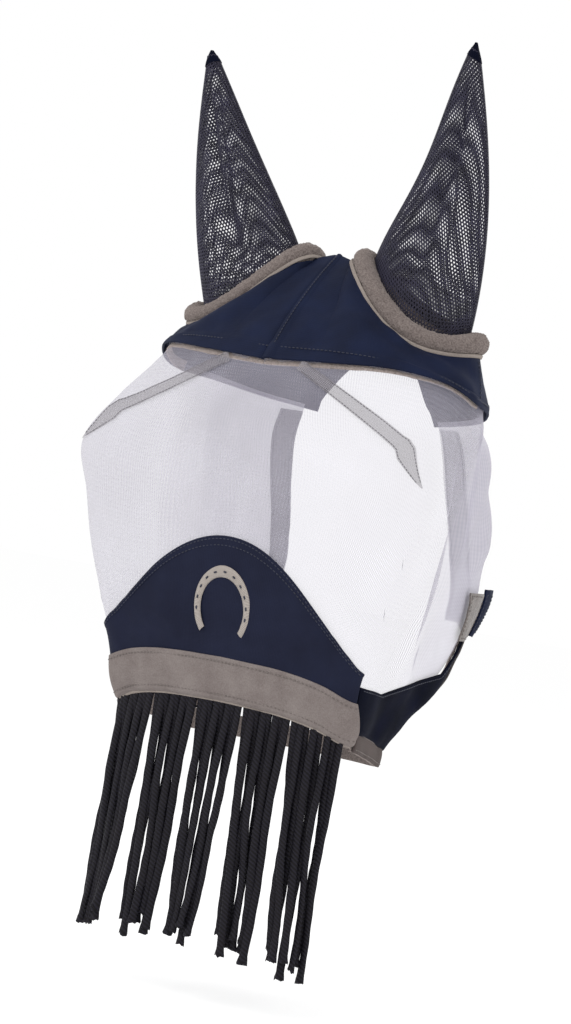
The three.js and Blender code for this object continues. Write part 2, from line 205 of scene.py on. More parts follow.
def lineThrough(points, at):
    way = math.copysign(1, points[1][0] - points[0][0])
    for (x0, y0), (x1, y1) in zip(points, points[1:]):
        if (at - x1) * way <= 0:
            return mix(y0, y1, max((at - x0) / (x1 - x0), 0))
    return points[-1][1]


def rowAt(height):
    for i in range(1, len(heights)):
        if height >= heights[i] or i == len(heights) - 1:
            return i - 1 + (heights[i - 1] - height) / (heights[i - 1] - heights[i])
    return 0


sideColumns = [[[half[k][axis] for height, half in sections] for k in range(8)] for axis in (0, 1)]


# a point of the head at a column, negative on the horse's right, and a height
def skin(column, height):
    row = rowAt(height)
    at = min(abs(column), 7)
    first = min(int(at), 6)
    near = range(first - 1, first + 3)
    place = []
    for axis in (0, 1):
        before, start, end, after = (smooth(sideColumns[axis][min(abs(k), 7)], row) for k in near)
        if axis == 0 and first == 0:
            before = -before
        slopeOut = (after - start) / 2 if first < 6 else (end - start) / 2
        place.append(curve(start, end, (end - before) / 2, slopeOut, at - first))
    return Vector((math.copysign(place[0], column), place[1], height))


def columnAt(out, height):
    low, high = 0.0, foldColumn + 0.2
    for _ in range(22):
        middle = (low + high) / 2
        if skin(middle, height).x < abs(out):
            low = middle
        else:
            high = middle
    return math.copysign(low, out)


def front(out, height):
    return skin(columnAt(out, height), height)


# a place on the left, mirrored to the horse's right
def mirror(place):
    def mirrored(across, up):
        point = place(1 - across, up)
        return Vector((-point.x, point.y, point.z))
    return mirrored


def onSide(side, place):
    return place if side == "left" else mirror(place)


def turned(side, lift):
    return lift if side == "left" else lambda across, up, point: lift(1 - across, up, point)


# ---- making cloth ----

# bumps of cloth that was handled: a noise of this height and size, stretched along the drop
def crumple(point, height, size, drop=1.0):
    at = Vector((point.x / size, point.y / size, point.z / (size * drop)))
    return height * noise.noise(at)


# a lift of this size with bumps of (height, size)
def loosely(out, *bumps):
    def lift(across, up, point):
        total = out
        for height, size in bumps:
            total += crumple(point, height, size)
        return total
    return lift


def selectOnly(piece):
    bpy.ops.object.select_all(action="DESELECT")
    piece.select_set(True)
    bpy.context.view_layer.objects.active = piece


def applyModifiers(piece):
    selectOnly(piece)
    for modifier in list(piece.modifiers):
        bpy.ops.object.modifier_apply(modifier=modifier.name)


def newGrid(name, columns, rows):
    bpy.ops.object.select_all(action="DESELECT")
    bpy.ops.mesh.primitive_grid_add(x_subdivisions=columns, y_subdivisions=rows, size=2)
    piece = bpy.context.object
    piece.name = name
    piece.data.name = name
    return piece


# one cloth piece. place(across, up) is where it lies, seen from outside, and lift(across, up, point)
# is how far it stands out there. thick is its cloth, with rounded cut edges.
def cloth(name, place, columns, rows, thick, material, body="root", lift=None, edge=0.35):
    piece = newGrid(name, columns, rows)
    mesh = piece.data
    spots = [((v.co.x + 1) / 2, (v.co.y + 1) / 2) for v in mesh.vertices]
    for v, (across, up) in zip(mesh.vertices, spots):
        v.co = place(across, up)
    mesh.update()
    normals = [v.normal.copy() for v in mesh.vertices]
    for v, normal, (across, up) in zip(mesh.vertices, normals, spots):
        if lift:
            v.co += normal * lift(across, up, v.co)
    width = sum((place((i + 1) / 20, 0.5) - place(i / 20, 0.5)).length for i in range(20))
    length = sum((place(0.5, (i + 1) / 20) - place(0.5, i / 20)).length for i in range(20))
    for corner in mesh.uv_layers.active.data:
        corner.uv = (corner.uv.x * width * mm, corner.uv.y * length * mm)
    for v in mesh.vertices:
        v.co *= mm
    if thick:
        wall = piece.modifiers.new("wall", "SOLIDIFY")
        wall.thickness = thick * mm
        wall.offset = 1
        wall.use_even_offset = False
        rim = piece.modifiers.new("rim", "BEVEL")
        rim.width = thick * edge * mm
        rim.segments = 2
        rim.limit_method = "ANGLE"
        rim.angle_limit = math.radians(60)
        applyModifiers(piece)
    selectOnly(piece)
    bpy.ops.object.shade_smooth_by_angle(angle=math.radians(50))
    piece.data.materials.append(material)
    if body:
        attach(piece, body)
    return piece


# the surface normal of place, for what is sewn on it
def normalOf(place, across, up, step=0.01):
    left, right = place(max(across - step, 0), up), place(min(across + step, 1), up)
    below, above = place(across, max(up - step, 0)), place(across, min(up + step, 1))
    return (right - left).cross(above - below).normalized()


def newPiece(mesh, material):
    mesh.materials.append(material)
    piece = bpy.data.objects.new(mesh.name, mesh)
    bpy.context.scene.collection.objects.link(piece)
    return piece


# a smooth piece from its own points and faces
def meshPiece(name, points, faces, material):
    mesh = bpy.data.meshes.new(name)
    mesh.from_pydata(points, [], faces)
    mesh.polygons.foreach_set("use_smooth", [True] * len(mesh.polygons))
    return newPiece(mesh, material)


# a route at one height of a piece, and one up it
def straight(low, high, steps, up):
    return [(mix(low, high, i / steps), up) for i in range(steps + 1)]


def upright(across, low, high, steps=20):
    return [(across, mix(low, high, i / steps)) for i in range(steps + 1)]


stitch = {"long": 2.6, "pitch": 3.6, "thick": 0.55, "sink": 0.1}
stitchRings = [(-0.5, 0.15), (-0.3, 0.85), (0.3, 0.85), (0.5, 0.15)]  # shares of its length and thickness
stitchSides = 6


# adds one stitch, which lies along a direction and dips into the cloth at its ends
def addStitch(points, faces, centre, along, normal, size):
    side = normal.cross(along)
    base = len(points)
    for share, swell in stitchRings:
        spot = centre + along * size["long"] * share - normal * size["sink"] * (2 * share) ** 2
        for turn in range(stitchSides):
            angle = turn * 2 * math.pi / stitchSides
            ring = side * math.cos(angle) + normal * math.sin(angle)
            points.append((spot + ring * size["thick"] * swell) * mm)
    for level in range(len(stitchRings) - 1):
        low = base + level * stitchSides
        high = low + stitchSides
        for turn in range(stitchSides):
            after = (turn + 1) % stitchSides
            faces.append((low + turn, low + after, high + after, high + turn))
    faces.append([base + stitchSides - 1 - turn for turn in range(stitchSides)])
    faces.append([len(points) - stitchSides + turn for turn in range(stitchSides)])


# a row of sewing stitches along a route of (across, up) spots on place
def stitchRow(name, place, route, out, material, body="root", size=stitch):
    steps = 240
    path = []
    for i in range(steps + 1):
        at = i / steps * (len(route) - 1)
        k = min(int(at), len(route) - 2)
        across = mix(route[k][0], route[k + 1][0], at - k)
        up = mix(route[k][1], route[k + 1][1], at - k)
        path.append((place(across, up), across, up))
    points, faces, gone, due = [], [], 0, size["pitch"] / 2
    for (a, across, up), (b, _, _) in zip(path, path[1:]):
        gap = (b - a).length
        if gap and gone + gap >= due:
            centre = a.lerp(b, (due - gone) / gap)
            normal = normalOf(place, across, up)
            addStitch(points, faces, centre + normal * out, (b - a).normalized(), normal, size)
            due += size["pitch"]
        gone += gap
    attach(meshPiece(name, points, faces, material), body)


print("head and cloth tools")


# ---- materials ----

# parallel threads, from the piece's own cloth map: 0 in the gaps to 1 on the threads
def threadsAlong(tree, way, spacing, wander):
    clothMap = addNode(tree, "ShaderNodeUVMap").outputs["UV"]
    scale = math.pi / (10 * spacing * mm)  # a wave texture's bands are pi/10 of a unit apart at scale 1
    inputs = {"Vector": clothMap, "Scale": scale, "Distortion": wander}
    return addNode(tree, "ShaderNodeTexWave", inputs, wave_type="BANDS", bands_direction=way).outputs["Fac"]


# woven threads both ways
def weave(tree, spacing, wander=0.0):
    return threadsAlong(tree, "X", spacing, wander), threadsAlong(tree, "Y", spacing, wander)


def mottle(tree, size, detail=4.0):
    place = addNode(tree, "ShaderNodeTexCoord").outputs["Object"]
    inputs = {"Vector": place, "Scale": 1 / (size * mm), "Detail": detail}
    return addNode(tree, "ShaderNodeTexNoise", inputs).outputs["Fac"]


def shades(tree, fac, dark, light, low=0.3, high=0.7):
    ramp = addNode(tree, "ShaderNodeValToRGB", {"Fac": fac})
    for stop, position, colour in zip(ramp.color_ramp.elements, (low, high), (dark, light)):
        stop.position = position
        stop.color = linear(colour)
    return ramp.outputs["Color"]


def blendColours(tree, fac, first, second):
    mixer = addNode(tree, "ShaderNodeMix", data_type="RGBA", blend_type="MIX")
    for name, value in (("Factor_Float", fac), ("A_Color", first), ("B_Color", second)):
        feed(tree, next(s for s in mixer.inputs if s.identifier == name), value)
    return next(s for s in mixer.outputs if s.identifier == "Result_Color")


def maths(tree, way, first, second=0.0):
    return addNode(tree, "ShaderNodeMath", {0: first, 1: second}, operation=way).outputs[0]


def times(tree, first, second):
    return maths(tree, "MULTIPLY", first, second)


def plus(tree, first, second):
    return maths(tree, "ADD", first, second)


def bump(tree, height, strength, distance):
    inputs = {"Height": height, "Strength": strength, "Distance": distance * mm}
    return addNode(tree, "ShaderNodeBump", inputs).outputs["Normal"]


# polyester softshell: a tight plain weave with a dry face, so soft sheen and no gloss
def softshellMaterial(name, dark, light, thread, gloss=0.12):
    material, tree, shader = startMaterial(name)
    across, along = weave(tree, 1.1)  # real threads are 0.4 mm, drawn coarser so that they show
    threads = times(tree, across, along)
    tone = shades(tree, mottle(tree, 28), dark, light)
    grain = blendColours(tree, times(tree, threads, 0.4), tone, linear(thread))
    fluff = mottle(tree, 0.9, 2.0)
    setShader(tree, shader, {
        "Base Color": grain,
        "Roughness": plus(tree, 0.66, times(tree, fluff, 0.2)),
        "Specular IOR Level": gloss,
        "Sheen Weight": gloss * 0.4,
        "Sheen Roughness": 0.4,
        "Sheen Tint": linear("8b93b8"),
        "Normal": bump(tree, plus(tree, threads, fluff), 0.35, 0.12),
    })
    return material


# fine polyester face net: white yarn with half its area open, so that it looks like frosted air.
# Behind the cheeks it's doubled, so less shows through.
def faceNetMaterial():
    material, tree, shader = startMaterial("polyester_face_net")
    across, along = weave(tree, 2.6, 0.4)  # real yarns are 0.3 mm apart, drawn coarser so that they show
    cloud = mottle(tree, 60)
    place = addNode(tree, "ShaderNodeTexCoord").outputs["Object"]
    back = addNode(tree, "ShaderNodeSeparateXYZ", {"Vector": place}).outputs["Y"]
    reach = {"Value": back, "From Min": -5 * mm, "From Max": 65 * mm, "To Min": 0.0, "To Max": 0.24}
    doubled = addNode(tree, "ShaderNodeMapRange", reach).outputs["Result"]
    cover = 0.27
    for pattern, share in ((across, 0.08), (along, 0.03), (cloud, 0.1)):
        cover = plus(tree, cover, times(tree, pattern, share))
    setShader(tree, shader, {
        "Base Color": shades(tree, cloud, "aba7b4", "bdbac6"),
        "Alpha": plus(tree, cover, doubled),
        "Roughness": 0.62,
        "Specular IOR Level": 0.3,
        "Normal": bump(tree, plus(tree, across, along), 0.2, 0.15),
    })
    return material


# a strip of doubled net or sheer tape: yarn over part of its area, in fine ribs
def sheerMaterial(name, dark, light, low, high, spacing=1.6):
    material, tree, shader = startMaterial(name)
    across, along = weave(tree, spacing)
    ribs = times(tree, plus(tree, across, along), 0.5)
    setShader(tree, shader, {
        "Base Color": shades(tree, ribs, dark, light, 0.2, 0.8),
        "Alpha": plus(tree, low, times(tree, ribs, high - low)),
        "Roughness": 0.7,
        "Specular IOR Level": 0.25,
        "Normal": bump(tree, ribs, 0.4, 0.2),
    })
    return material


# knitted ear net: soft filament yarn, dull with a faint violet cast
def earNetMaterial():
    material, tree, shader = startMaterial("polyamide_ear_net")
    setShader(tree, shader, {
        "Base Color": shades(tree, mottle(tree, 14), "12101c", "232133"),
        "Roughness": 0.7,
        "Specular IOR Level": 0.3,
        "Sheen Weight": 0.2,
        "Sheen Tint": linear("9a97b4"),
        "Normal": bump(tree, mottle(tree, 0.6, 2.0), 0.4, 0.1),
    })
    return material


# anti-pill fleece: short loops that scatter light, lighter at the tips
def fleeceMaterial(name, dark, light, pile=1.6):
    material, tree, shader = startMaterial(name)
    tufts = mottle(tree, pile, 5.0)
    patches = mottle(tree, 17, 3.0)
    tone = shades(tree, tufts, dark, light, 0.32, 0.68)
    worn = blendColours(tree, times(tree, patches, 0.35), tone, linear(light))
    setShader(tree, shader, {
        "Base Color": worn,
        "Roughness": 0.95,
        "Specular IOR Level": 0.1,
        "Sheen Weight": 0.45,
        "Sheen Roughness": 0.6,
        "Sheen Tint": linear("b5aba5"),
        "Normal": bump(tree, tufts, 1.0, 1.2),
    })
    return material


# brushed nylon tape: a napped weave, soft to the light with faint ribs along it
def brushedTapeMaterial(name, dark, light):
    material, tree, shader = startMaterial(name)
    across, along = weave(tree, 1.3, 0.6)
    nap = mottle(tree, 1.1, 4.0)
    clouds = mottle(tree, 22, 3.0)
    worn = plus(tree, times(tree, nap, 0.5), times(tree, clouds, 0.5))
    setShader(tree, shader, {
        "Base Color": shades(tree, worn, dark, light, 0.35, 0.65),
        "Roughness": 0.85,
        "Specular IOR Level": 0.15,
        "Sheen Weight": 0.15,
        "Sheen Tint": linear("c8beb6"),
        "Normal": bump(tree, plus(tree, times(tree, across, along), nap), 0.45, 0.3),
    })
    return material


# rayon embroidery thread: laid side by side, so it shines across its run
def embroideryMaterial():
    material, tree, shader = startMaterial("rayon_embroidery")
    threads = threadsAlong(tree, "X", 1.1, 0.8)  # real threads are 0.4 mm, drawn coarser so that they show
    setShader(tree, shader, {
        "Base Color": shades(tree, threads, "7a716b", "a59c94", 0.1, 0.9),
        "Roughness": 0.42,
        "Specular IOR Level": 0.5,
        "Sheen Weight": 0.25,
        "Normal": bump(tree, threads, 0.7, 0.4),
    })
    return material


# spun polyester sewing thread, slightly waxed
def threadMaterial(name, dark, light):
    material, tree, shader = startMaterial(name)
    ply = mottle(tree, 1.5, 2.0)
    setShader(tree, shader, {
        "Base Color": shades(tree, ply, dark, light),
        "Roughness": 0.55,
        "Normal": bump(tree, ply, 0.3, 0.1),
    })
    return material


braidPick = 3.4  # length of one turn of the braid


# flat polyester braid: two sets of yarns that meet in a herringbone along the middle
def braidMaterial():
    material, tree, shader = startMaterial("polyester_braid")
    clothMap = addNode(tree, "ShaderNodeUVMap").outputs["UV"]
    parts = addNode(tree, "ShaderNodeSeparateXYZ", {"Vector": clothMap})
    fold = maths(tree, "PINGPONG", parts.outputs["X"], 0.5)  # two herringbones round the cord
    slant = times(tree, fold, 7.0)
    rise = times(tree, parts.outputs["Y"], 2 * math.pi / (braidPick * mm))
    yarns = maths(tree, "SINE", plus(tree, rise, times(tree, slant, math.pi)))
    relief = times(tree, plus(tree, yarns, 1.0), 0.5)
    tone = shades(tree, relief, "08070c", "1d1c26", 0.15, 0.95)
    tint = blendColours(tree, times(tree, mottle(tree, 30), 0.5), tone, linear("1c1817"))
    setShader(tree, shader, {
        "Base Color": tint,
        "Roughness": 0.6,
        "Specular IOR Level": 0.12,
        "Sheen Weight": 0.03,
        "Sheen Tint": linear("8886a0"),
        "Normal": bump(tree, relief, 0.8, 0.5),
    })
    return material


# loop side of touch tape: a felt of tiny nylon loops
def loopMaterial(name, dark, light):
    material, tree, shader = startMaterial(name)
    place = addNode(tree, "ShaderNodeTexCoord").outputs["Object"]
    inputs = {"Vector": place, "Scale": 1 / (1.4 * mm)}
    loops = addNode(tree, "ShaderNodeTexVoronoi", inputs).outputs["Distance"]
    setShader(tree, shader, {
        "Base Color": shades(tree, loops, light, dark, 0.1, 0.7),
        "Roughness": 0.9,
        "Sheen Weight": 0.35,
        "Normal": bump(tree, loops, 0.8, 0.6),
    })
    return material


navySoftshell = softshellMaterial("navy_softshell", "0a1023", "101830", "1c2440")
noseSoftshell = softshellMaterial("nose_softshell", "0f1223", "15192c", "24283e")
# painted shade: the same navy softshell as the brow, with a darker base colour standing in for the shade
# under the jaw; the ear caps use it too
shadedSoftshell = softshellMaterial("shaded_jaw_softshell", "04060f", "080b1c", "10142a", 0.04)
faceNet = faceNetMaterial()
earNet = earNetMaterial()
ringFleece = fleeceMaterial("taupe_ring_fleece", "463d3b", "7b716d", 1.3)
liningFleece = fleeceMaterial("taupe_lining_fleece", "6b6160", "9b908a")
brushedTape = brushedTapeMaterial("taupe_brushed_tape", "655c5a", "7b7370")
chinTape = brushedTapeMaterial("taupe_chin_tape", "352d2c", "4a4140")
edgeTape = brushedTapeMaterial("light_taupe_edge", "756c67", "8d847d")
boundTape = brushedTapeMaterial("dark_taupe_binding", "221e22", "37312f")
dartTape = sheerMaterial("sheer_nylon_tape", "6d696e", "979398", 0.42, 0.7)
# the two cheek hems are one grey net hem in two copies: the darker one is painted shade on the far right
# side, seen from within, and the lighter, sheerer one is painted light on the near left side
shadedNetHem = sheerMaterial("shaded_net_hem", "4a4652", "65616d", 0.6, 0.85)
litNetHem = sheerMaterial("lit_net_hem", "67636f", "85818d", 0.3, 0.5)
earSeam = sheerMaterial("doubled_ear_net", "14121e", "232130", 0.55, 0.95, 2.2)
earPleat = sheerMaterial("pleated_ear_net", "191724", "2a2838", 0.2, 0.7, 2.6)
embroidery = embroideryMaterial()
navyThread = threadMaterial("navy_sewing_thread", "0c101e", "1f2439")
taupeThread = threadMaterial("taupe_sewing_thread", "4f4744", "6a615d")
greyThread = threadMaterial("grey_sewing_thread", "4c494e", "67636a")
braid = braidMaterial()
loopTape = loopMaterial("taupe_loop_tape", "4f4845", "766d67")
print("materials")


# ---- nose fringe: forty flat braided cords, eight to a section ----

fringe = {"strands": 40, "sections": 5, "span": 224, "length": 190, "row": 2.1, "gap": 4.2, "header": 4,
          "wide": 7.2, "thick": 4.1, "rings": 66, "sides": 12, "frayed": 6,
          "inset": {0: 1.2, 7: -1.2}, "clumps": [0.3, 0.62, 0.4, 0.66, 0.45], "gather": 0.34,
          "drift": [-10, -7, -4.5, -1, 3.5], "sway": 3.5, "curl": 1.1, "kink": 1.3}
nose = {"crown": -249, "fall": 0.0066, "bandTop": [-348, -350, -356, -366], "bandDepth": 36,
        "emblemHeight": -308, "emblemRadius": 26, "emblemBar": 8}
perSection = fringe["strands"] // fringe["sections"]
strandPitch = fringe["span"] / fringe["strands"]


def bandTop(column):
    return smooth(nose["bandTop"], abs(column))


def bandFoot(column):
    return bandTop(column) - nose["bandDepth"]


# where strand i hangs from and how it sways, as in the frame, with a little curl of its own
def strandRoute(i):
    place = i % perSection
    out = -fringe["span"] / 2 + (i + 0.5) * strandPitch
    column = columnAt(out, -390)
    top = skin(column, bandFoot(column))
    row = fringe["row"] if i % 2 == 0 else -fringe["row"]
    inset = fringe["inset"].get(place, -row / 2)  # the end cords stay clear of the next section
    top.x = out + inset
    top.z -= fringe["gap"] + fringe["header"] / 2
    drop = fringe["length"] + 7 * math.sin(i * 2.3) + 4 * math.sin(i * 5.1)
    inner = math.sin((place + 0.5) / perSection * math.pi) ** 2
    clump = fringe["clumps"][i // perSection]
    toClump = (clump - (place + 0.5) / perSection) * perSection * strandPitch * fringe["gather"]
    swayOut = fringe["sway"] * inner * math.sin(i * 2.9) + toClump + fringe["drift"][i // perSection]
    route = []
    for step in range(fringe["rings"]):
        share = step / (fringe["rings"] - 1)
        curl = fringe["curl"] * math.sin(share * 9 + i * 1.9) * min(share * 4, 1)
        kink = fringe["kink"] * math.sin(share * 7 + i * 3.1) * min(share * 4, 1)
        route.append(Vector((top.x + swayOut * share ** 1.5 + kink,
                             top.y + row * min(share * 8, 1) + 3 * share * share * math.sin(i * 0.5) + curl,
                             top.z + 9 * (1 - share) ** 12 - drop * share)))
    return route


def makeStrand(i):
    route = strandRoute(i)
    lean = random.uniform(-0.25, 0.25)
    twist = random.uniform(-0.6, 0.6)
    points, mapped = [], []
    gone = 0.0
    for k, spot in enumerate(route):
        share = k / (len(route) - 1)
        gone += (spot - route[k - 1]).length if k else 0
        turn = lean + twist * share
        side = Vector((math.cos(turn), math.sin(turn), 0))
        face = Vector((-math.sin(turn), math.cos(turn), 0))
        left = fringe["length"] * (1 - share)
        flare = 1 + 0.32 * max(0, 1 - left / fringe["frayed"])
        for s in range(fringe["sides"]):
            angle = s / fringe["sides"] * 2 * math.pi
            ragged = random.uniform(-2.2, 1.2) if k == len(route) - 1 else 0
            ridge = 1 + 0.05 * math.sin(gone / braidPick * 2 * math.pi + abs(math.sin(angle)) * 3)
            points.append((spot + side * math.cos(angle) * fringe["wide"] / 2 * flare * ridge
                           + face * math.sin(angle) * fringe["thick"] / 2 * flare * ridge
                           + Vector((0, 0, ragged))) * mm)
            mapped.append((s / fringe["sides"], gone * mm))
    faces, corners = [], []
    sides = fringe["sides"]
    for k in range(len(route) - 1):
        for s in range(sides):
            after = (s + 1) % sides
            face = (k * sides + s, (k + 1) * sides + s, (k + 1) * sides + after, k * sides + after)
            faces.append(face)
            # the cloth map ends at 1 where a turn closes
            corners += [mapped[index] for index in face[:2]]
            corners += [(1.0 if after == 0 else mapped[index][0], mapped[index][1]) for index in face[2:]]
    faces.append(list(range(sides)))
    corners += [(s / sides, 0) for s in range(sides)]
    end = (len(route) - 1) * sides
    faces.append([end + sides - 1 - s for s in range(sides)])
    corners += [(s / sides, gone * mm) for s in range(sides)]
    piece = meshPiece(f"fringe_cord_{i + 1:02d}", points, faces, braid)
    layer = piece.data.uv_layers.new(name="UVMap")
    for corner, uv in zip(layer.data, corners):
        corner.uv = uv
    section = i // perSection + 1
    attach(piece, f"fringe_{section}")
    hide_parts(f"fringe_section_{section}")
    path = [tuple(spot * mm) for spot in route]
    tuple(path[0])


for i in range(fringe["strands"]):
    makeStrand(i)
print("fringe cords")


# ---- ear rings ----

ring = {"centre": (82, 3, -29), "long": (54, 9, -29.5), "fore": (-8, 36, 0), "dipFront": 28, "dipRear": 12,
        "roll": 9.4, "pile": 1.1, "around": 260, "section": 30, "squash": 0.12, "edge": 3.4}
ringCentre, ringLong, ringFore = (Vector(ring[k]) for k in ("centre", "long", "fore"))
ringUp = ringLong.cross(ringFore).normalized()


# the left ring's centre line: angle 0 is its outer end and a half turn is its inner end
def ringPoint(angle):
    rise = math.sin(angle)
    dip = rise * rise * (ring["dipFront"] if rise < 0 else ring["dipRear"])
    return ringCentre + ringLong * math.cos(angle) + ringFore * rise - Vector((0, 0, dip))


def ringOut(angle):
    along = (ringPoint(angle + 0.01) - ringPoint(angle - 0.01)).normalized()
    return along.cross(ringUp).normalized()


def makeRing(side):
    way = 1 if side == "left" else -1
    bpy.ops.object.select_all(action="DESELECT")
    bpy.ops.mesh.primitive_torus_add(major_segments=ring["around"], minor_segments=ring["section"],
                                     major_radius=2, minor_radius=1)
    piece = bpy.context.object
    piece.name = f"fleece_ring_{side}"
    for v in piece.data.vertices:
        angle = math.atan2(v.co.y, v.co.x)
        away = math.hypot(v.co.x, v.co.y) - 2
        fluff = ring["pile"] * noise.noise(Vector((v.co.x * 30, v.co.y * 30, v.co.z * 9 + way)))
        fluff += 0.5 * noise.noise(Vector((v.co.x * 90, v.co.y * 60, v.co.z * 25 + way)))
        lumps = 0.7 * noise.noise(Vector((v.co.x * 5, v.co.y * 5, 3 + way)))
        size = ring["roll"] + fluff + lumps
        flat = 1 - ring["squash"] * max(-v.co.z, 0)
        point = ringPoint(angle) + ringOut(angle) * away * size + ringUp * v.co.z * size * flat
        v.co = Vector((point.x * way, point.y, point.z)) * mm
    if way < 0:
        selectOnly(piece)
        bpy.ops.object.mode_set(mode="EDIT")
        bpy.ops.mesh.select_all(action="SELECT")
        bpy.ops.mesh.flip_normals()
        bpy.ops.object.mode_set(mode="OBJECT")
    selectOnly(piece)
    bpy.ops.object.shade_smooth()
    piece.data.materials.append(ringFleece)
    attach(piece, "root")
    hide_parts(f"ear_ring_{side}")


# the folded edge of the ring's cover, where it is sewn down under the roll
def ringEdge(across, up):
    angle = mix(-math.pi, math.pi, across)
    foot = ringPoint(angle) + ringOut(angle) * (ring["roll"] * 0.84) - ringUp * (ring["roll"] * 0.55)
    return foot - ringUp * ring["edge"] * (1 - up) + ringOut(angle) * 0.6 * (1 - up)


for side in ("left", "right"):
    makeRing(side)
    edge = cloth(f"ring_edge_{side}", onSide(side, ringEdge), 160, 2, 1.3, edgeTape)
print("ear rings")


# ---- brow and poll ----

brow = {"edge": [-101, -98, -95, -99, -110, -115, -122, -130], "crest": (0, -4, 1), "bulge": 7,
        "back": (0, 101, -64), "sideColumn": 4.2, "riseFrom": 0.68, "thick": 2.0,
        "drag": 2.6, "hemStep": 1.3, "hemShare": 0.12, "lapStep": 1.6}
crest = Vector(brow["crest"])
backCentre = Vector(brow["back"])
centreShare = 0.2  # of a panel's top edge, from the centre to the ring
backShare = 0.75  # of the poll panel's lower edge, from the side seam to where it leaves the head


def browEdge(column):
    return smooth(brow["edge"], abs(column))


def rim(angle):
    return ringPoint(angle) + ringOut(angle) * (ring["roll"] * 0.62) - ringUp * (ring["roll"] * 0.95)


def bulged(foot, head, up, reach):
    point = foot.lerp(head, up)
    out = Vector((point.x, point.y * 1.1, point.z)).normalized()
    out.z = max(out.z, 0) + 0.25
    return point + out.normalized() * 4 * up * (1 - up) * reach


# the left brow panel: across runs from the centre seam to the side seam
def browPlace(across, up):
    column = across * brow["sideColumn"]
    foot = skin(column, browEdge(column))
    if across < centreShare:
        head = crest.lerp(rim(math.pi), across / centreShare)
    else:
        head = rim(math.pi + (across - centreShare) / (1 - centreShare) * math.pi)
    return bulged(foot, head, up, brow["bulge"] * (1 - 0.8 * across))


# the left poll panel: across runs from the side seam to the centre of the back
def pollPlace(across, up):
    column = mix(brow["sideColumn"], 7, min(across / backShare, 1))
    foot = skin(column, browEdge(column))
    if across > backShare:
        foot = foot.lerp(backCentre, (across - backShare) / (1 - backShare))
    rise = math.sqrt(max(across - brow["riseFrom"], 0) / (1 - brow["riseFrom"]))
    foot.z = mix(browEdge(column), backCentre.z, rise)
    ringShare = 1 - centreShare
    if across < ringShare:
        head = rim(across / ringShare * math.pi)
    else:
        head = rim(math.pi).lerp(crest, (across - ringShare) / centreShare)
    return bulged(foot, head, up, brow["bulge"] * (0.2 + 0.8 * across))


# 1 over a piece, falling to 0 at its edges, where it's sewn down
def atEdges(*shares, rate=9):
    shut = 1.0
    for share in shares:
        shut *= min(1, rate * share) * min(1, rate * (1 - share))
    return shut


# soft drag folds that run from the ring down to the hem, and a thicker hem
def browLift(across, up, point):
    drag = brow["drag"] * math.sin(across * 15 + up * 6) * up * (1 - up) * 2
    loose = crumple(point, 2.0, 34) + crumple(point + Vector((40, 0, 0)), 0.7, 12)
    seamDip = -1.6 * hill(across, 0, 0.014)
    hemStep = brow["hemStep"] * hill(max(up, brow["hemShare"]), brow["hemShare"], 0.012)
    return 0.6 + (drag + loose) * atEdges(across, up) + seamDip + hemStep


def pollLift(across, up, point):
    loose = crumple(point, 3.0, 40) + crumple(point + Vector((40, 0, 0)), 0.9, 14)
    hemStep = 0.9 * hill(max(up, 0.1), 0.1, 0.02)
    return 0.3 + loose * atEdges(across, up) + hemStep


def browLining(across, up):
    return browPlace(across, mix(-0.02, 0.2, up))


# the left half is folded and lapped over the right one at the centre seam
def lap(across, up, point):
    return browLift(across, up, point) + brow["lapStep"] / (1 + math.exp((across - 0.036) * 260))


def makeBrow(side):
    panel = cloth(f"brow_{side}", onSide(side, browPlace), 150, 46, brow["thick"], navySoftshell,
                  lift=lap if side == "left" else turned(side, browLift))
    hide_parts(f"brow_panel_{side}", "brow_centre_seam")
    back = cloth(f"poll_{side}", onSide(side, pollPlace), 90, 46, brow["thick"], navySoftshell,
                 lift=turned(side, pollLift))
    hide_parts(f"poll_panel_{side}")
    inner = cloth(f"brow_fleece_{side}", onSide(side, browLining), 80, 6, 2.2, liningFleece,
                  lift=loosely(-3.2, (1.0, 8)))
    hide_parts(f"brow_lining_{side}")
    hemRoute = straight(0, 1, 30, 0.095)
    liftOut = brow["thick"] + 1.9
    stitchRow(f"brow_hem_stitches_{side}", onSide(side, browPlace), hemRoute, liftOut, navyThread)
    stitchRow(f"poll_hem_stitches_{side}", onSide(side, pollPlace), hemRoute, liftOut, navyThread)
    if side == "left":
        stitchRow("brow_seam_stitches", browPlace, upright(0.02, 0.03, 0.97), liftOut + 0.9, navyThread)
    sideRoute = upright(0.975 if side == "left" else 0.025, 0.05, 0.9)
    stitchRow(f"side_seam_stitches_{side}", onSide(side, browPlace), sideRoute, liftOut - 0.6, navyThread)


for side in ("left", "right"):
    makeBrow(side)
print("brow and poll")


# ---- face net ----

jaw = {"top": [(3, -352), (4.05, -358), (4.8, -350), (5.6, -339), (6, -300)],
       "strapTop": [-389, -395, -402, -407], "strapDepth": 17, "strapBack": 36, "binding": 7}
cheek = {"left": [(-98, 6.66), (-139, 6.62), (-185, 6.58), (-240, 6.53), (-289, 6.45), (-300, 6.4)],
         "right": [(-98, 6.6), (-132, 6.55), (-180, 6.42), (-246, 6.3), (-300, 6.25)],
         "foot": -296, "tape": 0.27}


def noseTop(column):
    out = skin(column, nose["crown"] - nose["fall"] * skin(column, -300).x ** 2).x
    return nose["crown"] - nose["fall"] * out * out


def jawTop(column):
    return lineThrough(jaw["top"], column)


def netFoot(column):
    size = abs(column)
    if size < foldColumn:
        return noseTop(column) - 7
    if size < jawColumn:
        return jawTop(size) - 5
    return mix(jawTop(jawColumn) - 5, cheek["foot"], min((size - jawColumn) * 4, 1))


# across runs from the right cheek's back edge, over the face, to the left cheek's back edge
def netPlace(across, up):
    guess = mix(-6.4, 6.6, across)
    height = mix(netFoot(guess), browEdge(guess), up)
    column = mix(-lineThrough(cheek["right"], height), lineThrough(cheek["left"], height), across)
    return skin(column, mix(netFoot(column), browEdge(column) + 5, up))


